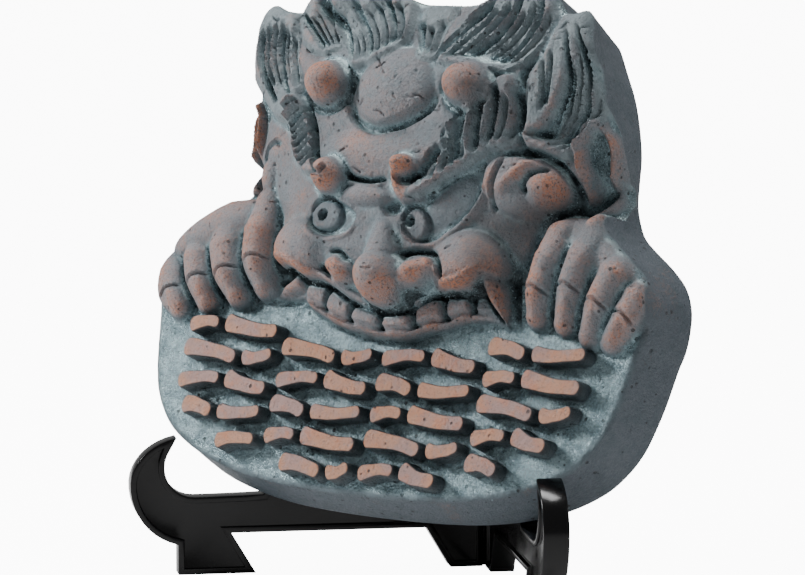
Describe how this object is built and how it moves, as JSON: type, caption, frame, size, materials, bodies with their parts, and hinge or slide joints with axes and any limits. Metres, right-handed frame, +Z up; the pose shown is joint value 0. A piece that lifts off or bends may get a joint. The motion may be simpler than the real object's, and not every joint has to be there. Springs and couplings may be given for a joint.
{
  "type": "roof end tile on plate stand",
  "caption": "Demon-face roof end tile in smoked clay, its hands gripping a board with rows of raised strokes, leaning on a folding plastic plate stand.",
  "frame": {"origin": "on the surface that the stand's feet rest on, at the middle of the whole object's footprint", "axes": "+Z up, -Y the way the demon's face looks, +X to the right of someone looking at the face"},
  "size_m": [0.2228, 0.1056, 0.2156],
  "materials": {
    "smoked_clay": "smoke-fired unglazed clay, blue-grey with a dull silvery sheen, worn to terracotta on its high spots",
    "black_plastic": "glossy moulded black plastic"
  },
  "bodies": {
    "root": {"onigawara_tile": "smoked_clay", "stand_leaf_left": "black_plastic", "stand_leaf_right": "black_plastic"}
  },
  "joints": []
}
